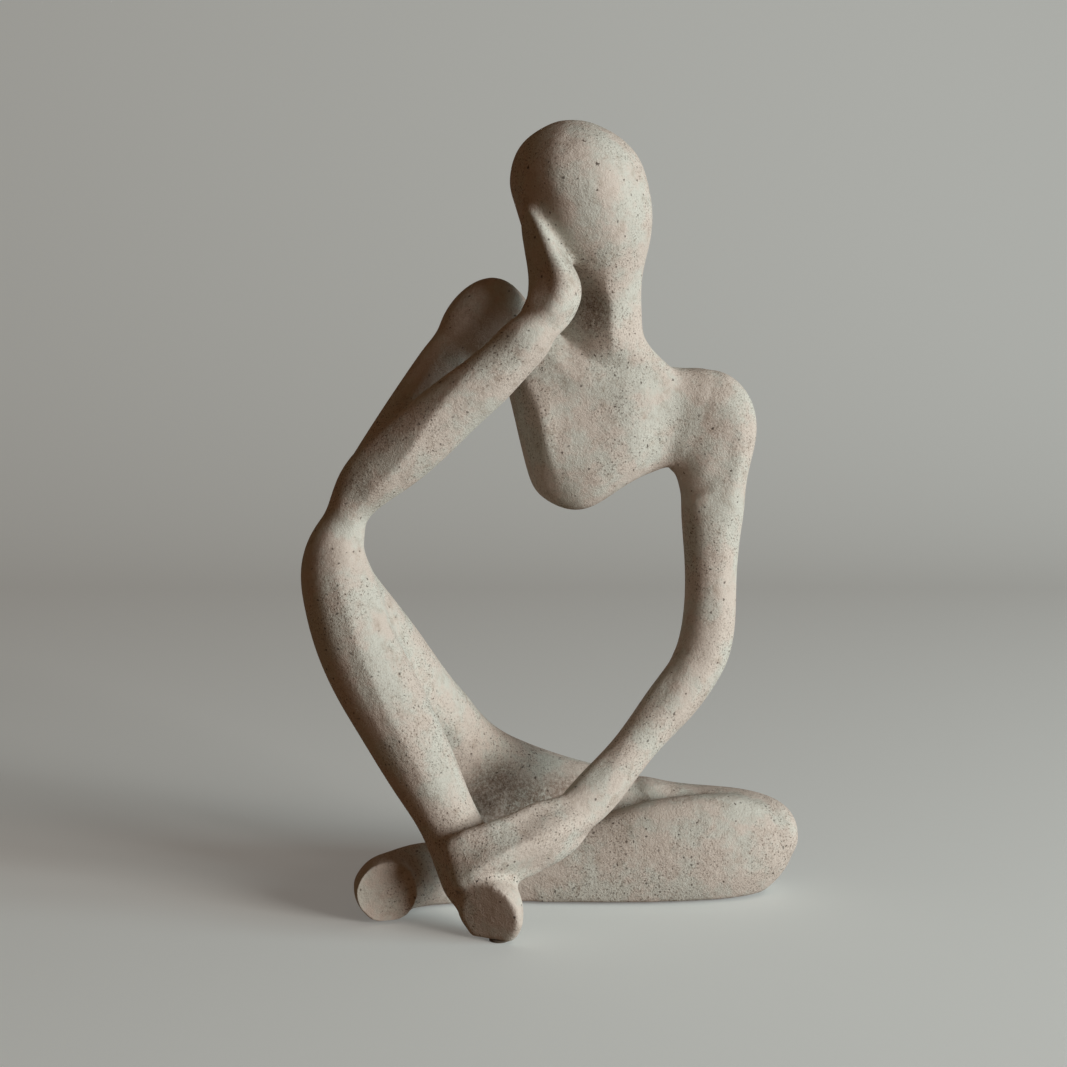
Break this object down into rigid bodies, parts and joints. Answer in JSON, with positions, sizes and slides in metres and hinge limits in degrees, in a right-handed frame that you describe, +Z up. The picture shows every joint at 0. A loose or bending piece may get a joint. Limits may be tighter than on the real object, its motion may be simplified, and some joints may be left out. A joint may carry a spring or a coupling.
{
  "type": "thinker statue",
  "caption": "Seated abstract faceless figure, cross-legged with one knee raised, elbow on the knee and cheek on the hand, in speckled sandstone-look resin.",
  "frame": {"origin": "middle of the figure's footprint box, on the surface that it rests on", "axes": "+Z up, -Y towards the viewer in front of the figure, +X towards the figure's left side"},
  "size_m": [0.1593, 0.0931, 0.2483],
  "materials": {
    "sandstone_resin": "matt, fine sand grain, warm beige mottled with grey and dark specks",
    "dowel_steel": "plain drawn steel",
    "felt": "dark thin felt"
  },
  "bodies": {
    "root": {"head": "sandstone_resin", "torso": "sandstone_resin", "right_arm": "sandstone_resin", "left_upper_arm": "sandstone_resin", "left_forearm": "sandstone_resin", "pelvis": "sandstone_resin", "raised_leg": "sandstone_resin", "folded_thigh": "sandstone_resin", "folded_shin": "sandstone_resin", "neck_dowel": "dowel_steel", "right_shoulder_dowel": "dowel_steel", "left_shoulder_dowel": "dowel_steel", "left_elbow_dowel": "dowel_steel", "raised_hip_dowel": "dowel_steel", "folded_hip_dowel": "dowel_steel", "elbow_on_knee_dowel": "dowel_steel", "folded_knee_dowel": "dowel_steel", "hand_on_ankle_dowel": "dowel_steel", "pelvis_pad": "felt", "knee_pad": "felt", "folded_foot_pad": "felt", "planted_foot_pad": "felt"}
  },
  "joints": []
}
